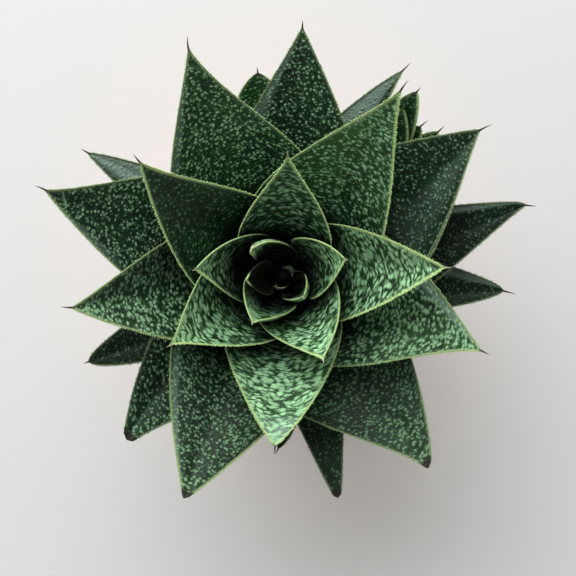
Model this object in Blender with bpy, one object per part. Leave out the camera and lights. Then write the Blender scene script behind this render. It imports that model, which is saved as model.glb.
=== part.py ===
"""Potted gasteraloe: a rosette of thick, keeled, toothed leaves on a short stem, with two small
offset rosettes, in the potting soil of a plain terracotta pot.

Metres, +Z up. The origin is on the pot's axis at the level the pot stands on. Azimuths are in
degrees, counterclockwise from +X, seen from above.
"""

import math
from collections import namedtuple

import bmesh
import bpy
import numpy as np

MM = 0.001
GAP = 0.3 * MM

# Pot: a tapered body under a plain rim band
POT_HEIGHT = 86 * MM
POT_SIDES = 40
RIM_RADIUS = 52 * MM
RIM_TAPER = 1.4 * MM
RIM_BAND = 21 * MM
RIM_STEP = 4 * MM
BASE_RADIUS = 35 * MM
POT_WALL = 4.6 * MM
POT_FLOOR = 6 * MM
INNER_FLOOR_RADIUS = 30 * MM
POT_EDGE = 1.2 * MM
DRAIN_RADIUS = 6 * MM

# Soil
SOIL_LEVEL = 80 * MM
SOIL_RELIEF = 0.8 * MM
SOIL_RINGS = 5
SOIL_SEED = 4

# Main stem: a cone that the leaves stand on, and a root stub in the soil
ROSETTE_AXIS = np.array([-2 * MM, -5.3 * MM, 0])
STEM_TOP_RADIUS = 2.2 * MM
STEM_FOOT_RADIUS = 11 * MM
STEM_TOP = 118 * MM
BUD_RADIUS = 1.2 * MM
BUD_HEIGHT = 3 * MM
STEM_FOOT = 85 * MM
STEM_STUB_RADIUS = 9 * MM
STEM_STUB_DEPTH = 14 * MM
STEM_SIDES = 20
TOP_HEEL = 116.5 * MM
LOWEST_HEEL = 86 * MM

# Slope of the leaves over the spiral, from the youngest to the oldest, in degrees
YOUNG_SLOPE = 80
OLD_SLOPE = 5
SLOPE_FALL = 1.6
HEEL_RISE = 15
HEEL_LENGTH = 26 * MM

# Leaf sections; a half width is at most the spread, in radians, times the radius, and the spread
# grows from the heel's to the full one along the leaf
HEEL_SPREAD = 0.82
FULL_SPREAD = 1.14
SPREAD_START = 6 * MM
SPREAD_LENGTH = 14 * MM
WIDEST_AT = 0.63
CORNER = 6
THICKEST = 5.4 * MM
HEEL_THICKNESS = 2.3 * MM
TIP_THICKNESS_SHARE = 0.42
CHANNEL_DEPTH = 0.9 * MM
AWN_RADIUS = 0.4 * MM
TOOTH_HEIGHT = 0.6 * MM
TOOTH_WIDTH = 1.3 * MM
LARGE_LEAF_STATIONS = 12
SMALL_LEAF_STATIONS = 8
SMALL_LEAF_REACH = 30 * MM
YOUNG_GREEN = np.array([0.07, 0.17, 0.05])
OLD_GREEN = np.array([0.035, 0.08, 0.035])

# Each leaf of the spiral, youngest first: azimuth of its heel and of its tip in degrees, reach of
# its tip from the stem's axis and half width on its left and on its right in millimetres, how each
# half width falls to the tip, evenly at 1 and late below it, the length of its awn in millimetres,
# the awn's turn to the left in degrees, and the half width of a withered tip in millimetres
Leaf = namedtuple("Leaf", "heel tip reach left right fall awn hook end", defaults=(0, 0.4))
LEAVES = [
    Leaf(268, 238, 4.3, 3.0, 3.0, (0.92, 0.92), 2.5),
    Leaf(47, 50, 3.5, 4.2, 4.2, (0.92, 0.92), 6.5, 165),
    Leaf(184, 186, 12.4, 9.0, 9.5, (0.92, 0.92), 3.0),
    Leaf(317, 316, 10.0, 14.0, 11.5, (0.92, 0.92), 4.5),
    Leaf(98, 138, 14.3, 9.0, 12.0, (0.6, 0.6), 3.0, 40),
    Leaf(241, 237, 19.0, 17.0, 25.5, (1.6, 1.2), 2.0),
    Leaf(18, 15, 22.3, 21.0, 17.0, (1.0, 1.1), 2.5),
    Leaf(165, 175.5, 29.6, 16.5, 19.0, (1.0, 1.0), 2.5),
    Leaf(300, 296, 31.4, 28.0, 24.0, (1.15, 1.15), 2.5),
    Leaf(84, 87.5, 40.5, 25.5, 22.0, (1.3, 1.3), 3.0),
    Leaf(218, 211.5, 44.0, 22.0, 30.5, (1.5, 1.1), 3.0),
    Leaf(3, 3, 54.3, 21.5, 19.5, (1.0, 1.0), 3.5),
    Leaf(141.5, 141.5, 61.0, 28.5, 20.5, (1.0, 1.35), 4.5),
    Leaf(269.5, 267.5, 58.0, 27.0, 27.0, (0.92, 0.92), 3.5),
    Leaf(54, 57.5, 74.0, 31.0, 27.5, (1.15, 1.3), 5.0, -10),
    Leaf(190, 188.5, 72.5, 23.0, 29.0, (0.92, 1.1), 4.5),
    Leaf(333, 339.5, 72.8, 42.0, 29.0, (1.0, 1.7), 4.0),
    Leaf(112, 112.5, 84.5, 40.0, 33.5, (1.1, 1.45), 5.0, -15),
    Leaf(242, 246, 83.6, 31.0, 34.0, (0.9, 1.1), 1.0, 0, 1.2),
    Leaf(31, 36.6, 86.0, 33.0, 40.0, (0.9, 1.25), 5.0, -5),
    Leaf(161, 160, 89.0, 29.0, 37.0, (0.95, 1.2), 4.5, 10),
    Leaf(304, 307.5, 85.0, 30.5, 39.0, (0.8, 1.45), 1.0, 0, 1.2),
    Leaf(84, 85.5, 89.5, 31.0, 31.0, (1.05, 1.05), 3.0),
    Leaf(217, 226, 81.0, 28.0, 20.5, (1.0, 1.05), 1.0, 0, 2.3),
    Leaf(12, 16.5, 92.0, 17.0, 24.0, (0.7, 1.3), 4.0),
    Leaf(141, 147.5, 84.5, 18.5, 9.0, (0.85, 0.92), 3.5),
    Leaf(284, 284, 83.0, 13.0, 10.5, (0.92, 0.92), 1.0, 0, 1.5),
    Leaf(65, 60, 88.0, 17.5, 9.5, (0.92, 0.92), 5.0),
    Leaf(206, 203.5, 79.0, 11.5, 15.0, (0.6, 0.65), 2.5),
    Leaf(352, 356.5, 82.5, 18.5, 9.0, (0.7, 0.7), 5.5),
    Leaf(124, 129, 60.0, 15.0, 15.0, (0.92, 0.92), 3.5),
    Leaf(268, 268.5, 64.5, 17.0, 14.0, (0.7, 0.92), 3.0),
]


# Each offset rosette: the foot of its stem in the soil, its crown, and for each of its leaves the
# tip, the greatest half width to the left and the right of its midrib, and the length of its awn.
# All are in millimetres, from the main stem's axis and the ground.
Offset = namedtuple("Offset", "name foot crown leaves")
OFFSETS = [
    Offset(
        "offset_left",
        (-7, 41, 74),
        (-8, 45, 90),
        [
            ((-9.3, 75.5, 107), 9.0, 10.0, 2.5),
            ((-13.8, 70.5, 103), 5.5, 6.0, 2.0),
            ((-21.0, 68.5, 100), 6.5, 6.0, 2.0),
            ((3.5, 63.5, 97), 6.0, 6.0, 2.0),
            ((-7.0, 51.0, 100), 3.5, 3.5, 1.5),
        ],
    ),
    Offset(
        "offset_right",
        (33, 29, 74),
        (37.5, 33, 90),
        [
            ((48.6, 67.3, 115), 9.5, 4.0, 2.5),
            ((43.5, 61.5, 113), 4.0, 5.0, 2.0),
            ((50.6, 55.6, 108), 8.0, 4.5, 4.0),
            ((57.6, 54.0, 104), 5.5, 5.0, 3.5),
            ((54.5, 48.0, 98), 6.0, 5.0, 3.0),
            ((40.5, 38.5, 101), 3.5, 3.5, 1.5),
        ],
    ),
]
OFFSET_STEM_RADIUS = 2.4 * MM
OFFSET_STEM_SIDES = 8
OFFSET_LEAF_STATIONS = 6
OFFSET_LEAF_THICKNESS = 2.2 * MM
OFFSET_LEAF_ARCH = 0.12
OFFSET_TIP_POWER = 0.7
HOLE_SIDES = 16


def clear_scene():
    for obj in list(bpy.data.objects):
        bpy.data.objects.remove(obj)


def material(name, colour, roughness):
    made = bpy.data.materials.new(name)
    made.use_nodes = True
    shader = made.node_tree.nodes["Principled BSDF"]
    shader.inputs["Base Color"].default_value = (*colour, 1)
    shader.inputs["Roughness"].default_value = roughness
    shader.inputs["Metallic"].default_value = 0
    made.diffuse_color = (*colour, 1)
    return made


def add_object(name, points, faces, finish):
    """An object of the given points and faces, its faces pointing out."""
    mesh = bpy.data.meshes.new(name)
    mesh.from_pydata([tuple(point) for point in points], [], faces)
    shell = bmesh.new()
    shell.from_mesh(mesh)
    bmesh.ops.triangulate(shell, faces=[face for face in shell.faces if len(face.verts) > 4])
    bmesh.ops.recalc_face_normals(shell, faces=shell.faces)
    if shell.calc_volume(signed=True) < 0:
        bmesh.ops.reverse_faces(shell, faces=shell.faces)
    shell.to_mesh(mesh)
    shell.free()
    if finish:
        mesh.materials.append(finish)
    obj = bpy.data.objects.new(name, mesh)
    bpy.context.scene.collection.objects.link(obj)
    return obj


def shell_slopes(order):
    """The far slope and the heel slope in radians of the leaf of this order on the spiral."""
    age = order / (len(LEAVES) - 1)
    far = OLD_SLOPE + (YOUNG_SLOPE - OLD_SLOPE) * (1 - age) ** SLOPE_FALL
    return math.radians(far), math.radians(far + HEEL_RISE * age)


def stem_radius(height):
    share = (STEM_TOP - height) / (STEM_TOP - STEM_FOOT)
    return STEM_TOP_RADIUS + (STEM_FOOT_RADIUS - STEM_TOP_RADIUS) * share


def midline(order, reach):
    """Distance along the leaf, radius, height and slope of its upper face, from heel to tip."""
    age = order / (len(LEAVES) - 1)
    far, heel = shell_slopes(order)
    run = np.linspace(0, 3 * reach + 60 * MM, 2000)
    slope = far + (heel - far) * np.exp(-run / HEEL_LENGTH)
    step = run[1] - run[0]
    heel_height = TOP_HEEL + (LOWEST_HEEL - TOP_HEEL) * age
    heel_radius = stem_radius(heel_height) + 2 * GAP
    radius = heel_radius + np.concatenate([[0], np.cumsum(np.cos(slope[:-1]) * step)])
    height = heel_height + np.concatenate([[0], np.cumsum(np.sin(slope[:-1]) * step)])
    length = np.interp(reach, radius, run)
    return length, lambda along: (
        np.interp(along, run, radius),
        np.interp(along, run, height),
        np.interp(along, run, slope),
    )


def leaf_sections(order, leaf, stations):
    """For each station the half widths, thickness, channel depth and a function to place a point.

    A point is placed by its sideways distance from the midline and its height above the face.
    """
    length, where = midline(order, leaf.reach * MM)
    sections = []
    for along in np.linspace(0, length, stations + 1):
        radius, height, slope = where(along)
        share = along / length
        azimuth = math.radians(leaf.heel + (leaf.tip - leaf.heel) * share * share)
        to_tip = (length - along) / (WIDEST_AT * length)
        spread_share = max(0, min(1, (along - SPREAD_START) / SPREAD_LENGTH))
        spread = HEEL_SPREAD + (FULL_SPREAD - HEEL_SPREAD) * spread_share
        sides = []
        for widest, fall in zip((leaf.left, leaf.right), leaf.fall):
            taper = widest * MM * to_tip**fall + leaf.end * MM
            sides.append((taper**-CORNER + (spread * radius) ** -CORNER) ** (-1 / CORNER))
        mean = 0.5 * sum(sides)
        swell = min(1, share / 0.45) * min(1, (leaf.left + leaf.right) / 40)
        body = HEEL_THICKNESS + (THICKEST - HEEL_THICKNESS) * swell
        thickness = (body**-3 + (TIP_THICKNESS_SHARE * mean + AWN_RADIUS) ** -3) ** (-1 / 3)
        channel = CHANNEL_DEPTH * min(1, mean / (8 * MM)) * share

        def place(side, lift, radius=radius, height=height, slope=slope, azimuth=azimuth):
            turn = side / radius
            around = azimuth + turn
            out = np.array([math.cos(around), math.sin(around), 0])
            point = radius * out + np.array([0, 0, height])
            normal = -math.sin(slope) * out + np.array([0, 0, math.cos(slope)])
            return point + lift * normal + ROSETTE_AXIS

        sections.append((sides, thickness, channel, place))
    return sections


def leaf_mesh(order, leaf):
    """A keeled blade with a tooth between each two stations of both margins, and an awn."""
    small = leaf.reach * MM < SMALL_LEAF_REACH
    stations = SMALL_LEAF_STATIONS if small else LARGE_LEAF_STATIONS
    sections = leaf_sections(order, leaf, stations)
    points = []
    rings = []
    for sides, thickness, channel, place in sections:
        outline = [
            (-1, 0),
            (-0.5, -0.6 * channel),
            (0, -channel),
            (0.5, -0.6 * channel),
            (1, 0),
            (0.58, -0.62 * thickness),
            (0, -channel - thickness),
            (-0.58, -0.62 * thickness),
        ]
        rings.append(range(len(points), len(points) + len(outline)))
        points += [place(share * sides[share < 0], lift) for share, lift in outline]
    faces = [list(rings[0])]
    for near, far, here, there in zip(rings, rings[1:], sections, sections[1:]):
        for i in (1, 2, 5, 6):
            faces.append([near[i], near[i + 1], far[i + 1], far[i]])
        for margin, above, below in ((0, 1, 7), (4, 3, 5)):
            start, end = points[near[margin]], points[far[margin]]
            span = np.linalg.norm(end - start)
            share = min(0.3, 0.5 * TOOTH_WIDTH / span)
            inside = 0.5 * (points[near[above]] + points[far[above]])
            middle = 0.5 * (start + end)
            out = middle - inside
            out = out / np.linalg.norm(out)
            height = min(TOOTH_HEIGHT, 0.25 * here[0][margin == 0])
            first = len(points)
            points += [
                start + (0.5 - share) * (end - start),
                middle + height * out + 0.3 * height * (end - start) / span,
                start + (0.5 + share) * (end - start),
            ]
            chain = [near[margin], first, first + 1, first + 2, far[margin]]
            for inner in (above, below):
                faces += [
                    [near[inner], chain[0], chain[1]],
                    [near[inner], chain[1], chain[2]],
                    [near[inner], chain[2], far[inner]],
                    [far[inner], chain[2], chain[3]],
                    [far[inner], chain[3], chain[4]],
                ]
    last = rings[-1]
    tip = sum(points[i] for i in last) / len(last)
    before = sum(points[i] for i in rings[-2]) / len(last)
    along = (tip - before) / np.linalg.norm(tip - before)
    turn = math.radians(leaf.hook)
    hooked = [
        along[0] * math.cos(turn) - along[1] * math.sin(turn),
        along[0] * math.sin(turn) + along[1] * math.cos(turn),
        along[2],
    ]
    points.append(tip + leaf.awn * MM * np.array(hooked))
    for i in range(len(last)):
        faces.append([last[i], last[(i + 1) % len(last)], len(points) - 1])
    return points, faces


def turned_mesh(profile, sides):
    """A body turned from (radius, height) points; a point at radius 0 is a pole."""
    points = []
    rings = []
    for radius, height in profile:
        count = sides if radius > 0 else 1
        rings.append([len(points) + i for i in range(count)])
        for i in range(count):
            angle = 2 * math.pi * i / sides
            points.append((radius * math.cos(angle), radius * math.sin(angle), height))
    closed_loop = profile[0][0] > 0
    pairs = list(zip(rings, rings[1:] + rings[:1] if closed_loop else rings[1:]))
    faces = []
    for low, high in pairs:
        for i in range(sides):
            j = (i + 1) % sides
            if len(low) == 1:
                faces.append([low[0], high[j], high[i]])
            elif len(high) == 1:
                faces.append([low[i], low[j], high[0]])
            else:
                faces.append([low[i], low[j], high[j], high[i]])
    return points, faces


def inner_radius(height):
    """Radius of the pot's inner wall."""
    share = (height - POT_FLOOR) / (POT_HEIGHT - POT_FLOOR)
    return INNER_FLOOR_RADIUS + (RIM_RADIUS - POT_WALL - INNER_FLOOR_RADIUS) * share


def make_pot(finish):
    rim_foot = POT_HEIGHT - RIM_BAND
    body_top = RIM_RADIUS - RIM_TAPER - RIM_STEP
    inner_edge = POT_HEIGHT - POT_EDGE
    profile = [
        (DRAIN_RADIUS, 0),
        (BASE_RADIUS - POT_EDGE, 0),
        (BASE_RADIUS, POT_EDGE),
        (body_top, rim_foot - POT_EDGE),
        (RIM_RADIUS - RIM_TAPER - POT_EDGE, rim_foot),
        (RIM_RADIUS - RIM_TAPER, rim_foot + POT_EDGE),
        (RIM_RADIUS, POT_HEIGHT - POT_EDGE),
        (RIM_RADIUS - POT_EDGE, POT_HEIGHT),
        (RIM_RADIUS - POT_WALL + POT_EDGE, POT_HEIGHT),
        (inner_radius(inner_edge), inner_edge),
        (inner_radius(POT_FLOOR + 2 * POT_EDGE), POT_FLOOR + 2 * POT_EDGE),
        (INNER_FLOOR_RADIUS - 2 * POT_EDGE, POT_FLOOR),
        (DRAIN_RADIUS, POT_FLOOR),
    ]
    pot = add_object("pot", *turned_mesh(profile, POT_SIDES), finish)
    pot.data.shade_smooth()
    pot.data.set_sharp_from_angle(angle=math.radians(35))


def cutter(name, radius, centre):
    """A hidden plain cylinder that makes a stem's hole in the soil."""
    x, y, foot = centre
    profile = [(0, foot), (radius, foot), (radius, POT_HEIGHT), (0, POT_HEIGHT)]
    points, faces = turned_mesh(profile, HOLE_SIDES)
    tool = add_object(name, [(px + x, py + y, pz) for px, py, pz in points], faces, None)
    tool.hide_render = True
    tool.display_type = "WIRE"
    return tool


def make_soil(finish):
    """Soil that fills the pot, with a slightly uneven top and a plain hole for each stem."""
    draw = np.random.default_rng(SOIL_SEED)
    floor = POT_FLOOR + GAP
    fillet = POT_FLOOR + 2 * POT_EDGE
    top_radius = inner_radius(SOIL_LEVEL) - 2 * GAP
    profile = [
        (0, floor),
        (INNER_FLOOR_RADIUS - 2 * POT_EDGE - GAP, floor),
        (inner_radius(fillet) - 2 * GAP, fillet + GAP),
    ]
    for ring in range(SOIL_RINGS):
        profile.append((top_radius * (1 - ring / SOIL_RINGS), SOIL_LEVEL))
    profile.append((0, SOIL_LEVEL))
    points, faces = turned_mesh(profile, POT_SIDES)
    uneven = []
    for x, y, z in points:
        inside = z == SOIL_LEVEL and math.hypot(x, y) < 0.99 * top_radius
        uneven.append((x, y, z + (SOIL_RELIEF * draw.uniform(-1, 1) if inside else 0)))
    soil = add_object("soil", uneven, faces, finish)
    stub_foot = SOIL_LEVEL - STEM_STUB_DEPTH - GAP
    holes = [(STEM_STUB_RADIUS + 2 * GAP, (ROSETTE_AXIS[0], ROSETTE_AXIS[1], stub_foot))]
    for offset in OFFSETS:
        x, y, foot = ROSETTE_AXIS + np.array(offset.foot) * MM
        holes.append((OFFSET_STEM_RADIUS + 2 * GAP, (x, y, foot - GAP)))
    for i, (radius, centre) in enumerate(holes):
        hole = soil.modifiers.new(f"stem_hole_{i}", "BOOLEAN")
        hole.operation = "DIFFERENCE"
        hole.object = cutter(f"hole_cutter_{i}", radius, centre)


def make_stem(finish):
    neck = STEM_FOOT - 2 * MM
    profile = [
        (0, SOIL_LEVEL - STEM_STUB_DEPTH),
        (STEM_STUB_RADIUS - MM, SOIL_LEVEL - STEM_STUB_DEPTH),
        (STEM_STUB_RADIUS, neck),
        (STEM_FOOT_RADIUS, STEM_FOOT),
        (STEM_TOP_RADIUS, STEM_TOP),
        (BUD_RADIUS, STEM_TOP + 0.6 * BUD_HEIGHT),
        (0, STEM_TOP + BUD_HEIGHT),
    ]
    points, faces = turned_mesh(profile, STEM_SIDES)
    add_object("stem", [np.array(point) + ROSETTE_AXIS for point in points], faces, finish)


def offset_leaf_mesh(crown, tip, left, right, awn):
    """A small keeled blade that rises from the crown in an arch, notched along its margins."""
    crown, tip = np.array(crown) * MM, np.array(tip) * MM
    reach = tip - crown
    bend = crown + 0.5 * reach + OFFSET_LEAF_ARCH * np.linalg.norm(reach) * np.array([0, 0, 1])
    points = []
    rings = []
    for station in range(OFFSET_LEAF_STATIONS + 1):
        share = station / OFFSET_LEAF_STATIONS
        centre = (1 - share) ** 2 * crown + 2 * share * (1 - share) * bend + share**2 * tip
        along = 2 * (1 - share) * (bend - crown) + 2 * share * (tip - bend)
        along = along / np.linalg.norm(along)
        across = np.cross(along, [0, 0, 1])
        across = across / np.linalg.norm(across)
        up = np.cross(across, along)
        swell = math.sin(math.pi * (0.1 + 0.9 * share) ** 1.2) ** OFFSET_TIP_POWER
        notch = AWN_RADIUS + 0.5 * TOOTH_HEIGHT * (station % 2)
        depth = OFFSET_LEAF_THICKNESS * min(1, 0.2 + swell)
        outline = [(-1, 0), (0, -0.25), (1, 0), (0.6, -0.75), (0, -1.25), (-0.6, -0.75)]
        rings.append(range(len(points), len(points) + len(outline)))
        for side, lift in outline:
            width = (right if side > 0 else left) * MM * swell + notch
            points.append(centre + side * width * across + lift * depth * up)
    faces = [list(rings[0])]
    for near, far in zip(rings, rings[1:]):
        for i in range(6):
            j = (i + 1) % 6
            faces.append([near[i], near[j], far[j], far[i]])
    points.append(tip + awn * MM * along)
    for i in range(6):
        faces.append([rings[-1][i], rings[-1][(i + 1) % 6], len(points) - 1])
    return [point + ROSETTE_AXIS for point in points], faces


def make_offset(offset, finish):
    """A young rosette of one piece: its leaves are joined to its short leaning stem."""
    foot = ROSETTE_AXIS + np.array(offset.foot) * MM
    crown = ROSETTE_AXIS + np.array(offset.crown) * MM
    neck = np.array([foot[0], foot[1], POT_HEIGHT - 2 * MM])
    points = []
    for centre, radius in ((foot, 0.8), (neck, 1), (crown, 1.3), (crown + (0, 0, 2 * MM), 0.7)):
        for i in range(OFFSET_STEM_SIDES):
            angle = 2 * math.pi * i / OFFSET_STEM_SIDES
            ring = np.array([math.cos(angle), math.sin(angle), 0])
            points.append(centre + radius * OFFSET_STEM_RADIUS * ring)
    sides = OFFSET_STEM_SIDES
    faces = [list(range(sides)), list(range(3 * sides, 4 * sides))]
    for low in range(0, 3 * sides, sides):
        for i in range(sides):
            j = (i + 1) % sides
            faces.append([low + i, low + j, low + sides + j, low + sides + i])
    plant = add_object(offset.name, points, faces, finish)
    blades = bpy.data.collections.new(f"{offset.name}_blades")
    bpy.context.scene.collection.children.link(blades)
    for i, (tip, left, right, awn) in enumerate(offset.leaves):
        mesh_points, mesh_faces = offset_leaf_mesh(offset.crown, tip, left, right, awn)
        blade = add_object(f"{offset.name}_blade_{i}", mesh_points, mesh_faces, finish)
        bpy.context.scene.collection.objects.unlink(blade)
        blades.objects.link(blade)
    join = plant.modifiers.new("blades", "BOOLEAN")
    join.operation = "UNION"
    join.operand_type = "COLLECTION"
    join.collection = blades
    graph = bpy.context.evaluated_depsgraph_get()
    joined = bpy.data.meshes.new_from_object(plant.evaluated_get(graph))
    plant.modifiers.clear()
    plant.data = joined
    for blade in list(blades.objects):
        bpy.data.objects.remove(blade)
    bpy.data.collections.remove(blades)


def main():
    clear_scene()
    for order, leaf in enumerate(LEAVES):
        name = f"leaf_{order + 1:02d}"
        age = order / (len(LEAVES) - 1)
        green = YOUNG_GREEN + (OLD_GREEN - YOUNG_GREEN) * age
        points, faces = leaf_mesh(order, leaf)
        add_object(name, points, faces, material(f"{name}_green", green, 0.5))
    for offset in OFFSETS:
        make_offset(offset, material(f"{offset.name}_green", YOUNG_GREEN, 0.5))
    make_stem(material("stem_bark", (0.16, 0.13, 0.07), 0.8))
    make_soil(material("potting_soil", (0.03, 0.02, 0.014), 0.95))
    make_pot(material("terracotta", (0.48, 0.19, 0.09), 0.85))


main()
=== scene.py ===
"""Looks of the potted gasteraloe: flecked leaves with beaded, toothed margins and stiff awns, two
young offset rosettes, a corky stem, a bark potting mix and a weathered terracotta pot.

Metres, +Z up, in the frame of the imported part. Azimuths are in degrees, counterclockwise from +X,
seen from above. On every blade the left side is the counterclockwise one and counts as positive.
"""

import math
from collections import namedtuple

import bpy
import numpy as np
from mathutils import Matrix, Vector
from mathutils.bvhtree import BVHTree


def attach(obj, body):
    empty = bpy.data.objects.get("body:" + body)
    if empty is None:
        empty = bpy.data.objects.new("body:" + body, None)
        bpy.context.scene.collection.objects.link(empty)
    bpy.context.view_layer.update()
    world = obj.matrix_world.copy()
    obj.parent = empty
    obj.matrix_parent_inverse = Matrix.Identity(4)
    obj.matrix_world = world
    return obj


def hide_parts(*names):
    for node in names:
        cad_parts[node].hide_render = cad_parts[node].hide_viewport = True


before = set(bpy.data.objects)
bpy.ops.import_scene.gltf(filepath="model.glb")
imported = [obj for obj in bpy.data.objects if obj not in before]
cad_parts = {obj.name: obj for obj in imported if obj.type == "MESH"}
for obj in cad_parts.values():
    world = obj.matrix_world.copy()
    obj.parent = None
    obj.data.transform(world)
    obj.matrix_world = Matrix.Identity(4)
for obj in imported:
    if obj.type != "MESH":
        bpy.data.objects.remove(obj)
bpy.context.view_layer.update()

MM = 0.001
GAP = 0.3 * MM

# Camera and lights
CAMERA_PLACE = (-0.16 * MM, -9.3 * MM, 590 * MM)
CAMERA_LENS = 81.56
SENSOR = 36
WINDOW_GLOW = 1.95
ROOM_GLOW = 0.68
CEILING_GLOW = 0.14

# Main stem and the slopes of the leaves on it, as in the part
ROSETTE_AXIS = np.array([-2 * MM, -5.3 * MM, 0])
STEM_TOP_RADIUS = 2.2 * MM
STEM_FOOT_RADIUS = 11 * MM
STEM_TOP = 118 * MM
BUD_RADIUS = 1.2 * MM
BUD_HEIGHT = 3 * MM
STEM_FOOT = 85 * MM
STEM_STUB_RADIUS = 9 * MM
TOP_HEEL = 116.5 * MM
LOWEST_HEEL = 86 * MM
YOUNG_SLOPE = 80
OLD_SLOPE = 5
SLOPE_FALL = 1.6
HEEL_RISE = 15
HEEL_LENGTH = 26 * MM

# Leaf sections, as in the part
HEEL_SPREAD = 0.82
FULL_SPREAD = 1.14
SPREAD_START = 6 * MM
SPREAD_LENGTH = 14 * MM
WIDEST_AT = 0.63
CORNER = 6
THICKEST = 5.4 * MM
HEEL_THICKNESS = 2.3 * MM
TIP_THICKNESS_SHARE = 0.42
AWN_RADIUS = 0.4 * MM

# Finer shape of the leaves
CAD_CHANNEL = 0.9 * MM
CREASE_WIDTH = 0.07
BEAD_RADIUS = 0.45 * MM
WAVE_HEIGHT = 0.22 * MM
STATION_SPACING = 1.2 * MM
LEAST_STATIONS = 24
AWN_RINGS = 9
UPPER_POINTS = 27
UNDER_POINTS = 15
FLECK_DENSITY = 2.0e6
FLECK_RADIUS = 0.2 * MM
GRAIN_DENSITY = 4.0e5
BEAD_ANGLES = (62, 22, -22, -62)
SHADE_RAYS = 24
SHADE_REACH = 32 * MM

# Each leaf of the spiral, youngest first: azimuth of its heel and of its tip in degrees, reach of
# its tip from the stem's axis and half width on its left and on its right in millimetres, how each
# half width falls to the tip, evenly at 1 and late below it, the length of its awn in millimetres,
# the awn's turn to the left in degrees, and the half width of a withered tip in millimetres
Leaf = namedtuple("Leaf", "heel tip reach left right fall awn hook end", defaults=(0, 0.4))
LEAVES = [
    Leaf(268, 238, 4.3, 3.0, 3.0, (0.92, 0.92), 2.5),
    Leaf(47, 50, 3.5, 4.2, 4.2, (0.92, 0.92), 6.5, 165),
    Leaf(184, 186, 12.4, 9.0, 9.5, (0.92, 0.92), 3.0),
    Leaf(317, 316, 10.0, 14.0, 11.5, (0.92, 0.92), 4.5),
    Leaf(98, 138, 14.3, 9.0, 12.0, (0.6, 0.6), 3.0, 40),
    Leaf(241, 237, 19.0, 17.0, 25.5, (1.6, 1.2), 2.0),
    Leaf(18, 15, 22.3, 21.0, 17.0, (1.0, 1.1), 2.5),
    Leaf(165, 175.5, 29.6, 16.5, 19.0, (1.0, 1.0), 2.5),
    Leaf(300, 296, 31.4, 28.0, 24.0, (1.15, 1.15), 2.5),
    Leaf(84, 87.5, 40.5, 25.5, 22.0, (1.3, 1.3), 3.0),
    Leaf(218, 211.5, 44.0, 22.0, 30.5, (1.5, 1.1), 3.0),
    Leaf(3, 3, 54.3, 21.5, 19.5, (1.0, 1.0), 3.5),
    Leaf(141.5, 141.5, 61.0, 28.5, 20.5, (1.0, 1.35), 4.5),
    Leaf(269.5, 267.5, 58.0, 27.0, 27.0, (0.92, 0.92), 3.5),
    Leaf(54, 57.5, 74.0, 31.0, 27.5, (1.15, 1.3), 5.0, -10),
    Leaf(190, 188.5, 72.5, 23.0, 29.0, (0.92, 1.1), 4.5),
    Leaf(333, 339.5, 72.8, 42.0, 29.0, (1.0, 1.7), 4.0),
    Leaf(112, 112.5, 84.5, 40.0, 33.5, (1.1, 1.45), 5.0, -15),
    Leaf(242, 246, 83.6, 31.0, 34.0, (0.9, 1.1), 1.0, 0, 1.2),
    Leaf(31, 36.6, 86.0, 33.0, 40.0, (0.9, 1.25), 5.0, -5),
    Leaf(161, 160, 89.0, 29.0, 37.0, (0.95, 1.2), 4.5, 10),
    Leaf(304, 307.5, 85.0, 30.5, 39.0, (0.8, 1.45), 1.0, 0, 1.2),
    Leaf(84, 85.5, 89.5, 31.0, 31.0, (1.05, 1.05), 3.0),
    Leaf(217, 226, 81.0, 28.0, 20.5, (1.0, 1.05), 1.0, 0, 2.3),
    Leaf(12, 16.5, 92.0, 17.0, 24.0, (0.7, 1.3), 4.0),
    Leaf(141, 147.5, 84.5, 18.5, 9.0, (0.85, 0.92), 3.5),
    Leaf(284, 284, 83.0, 13.0, 10.5, (0.92, 0.92), 1.0, 0, 1.5),
    Leaf(65, 60, 88.0, 17.5, 9.5, (0.92, 0.92), 5.0),
    Leaf(206, 203.5, 79.0, 11.5, 15.0, (0.6, 0.65), 2.5),
    Leaf(352, 356.5, 82.5, 18.5, 9.0, (0.7, 0.7), 5.5),
    Leaf(124, 129, 60.0, 15.0, 15.0, (0.92, 0.92), 3.5),
    Leaf(268, 268.5, 64.5, 17.0, 14.0, (0.7, 0.92), 3.0),
]

# Each offset rosette: the foot of its stem in the soil, its crown, and for each of its leaves the
# tip, the greatest half width to the left and the right of its midrib, and the length of its awn.
# All are in millimetres, from the main stem's axis and the ground.
Offset = namedtuple("Offset", "name foot crown leaves")
OFFSETS = [
    Offset(
        "offset_left",
        (-7, 41, 74),
        (-8, 45, 90),
        [
            ((-9.3, 75.5, 107), 9.0, 10.0, 2.5),
            ((-13.8, 70.5, 103), 5.5, 6.0, 2.0),
            ((-21.0, 68.5, 100), 6.5, 6.0, 2.0),
            ((3.5, 63.5, 97), 6.0, 6.0, 2.0),
            ((-7.0, 51.0, 100), 3.5, 3.5, 1.5),
        ],
    ),
    Offset(
        "offset_right",
        (33, 29, 74),
        (37.5, 33, 90),
        [
            ((48.6, 67.3, 115), 9.5, 4.0, 2.5),
            ((43.5, 61.5, 113), 4.0, 5.0, 2.0),
            ((50.6, 55.6, 108), 8.0, 4.5, 4.0),
            ((57.6, 54.0, 104), 5.5, 5.0, 3.5),
            ((54.5, 48.0, 98), 6.0, 5.0, 3.0),
            ((40.5, 38.5, 101), 3.5, 3.5, 1.5),
        ],
    ),
]
OFFSET_STEM_RADIUS = 2.4 * MM
OFFSET_LEAF_THICKNESS = 2.2 * MM
OFFSET_LEAF_ARCH = 0.12
OFFSET_TIP_POWER = 0.7
OFFSET_STATIONS = 26
YOUNG_STEM_SIDES = 24
YOUNG_STEM_RINGS = 60
SCAR_DEPTH = 0.05
SCAR_SPACING = 1.9 * MM

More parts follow.
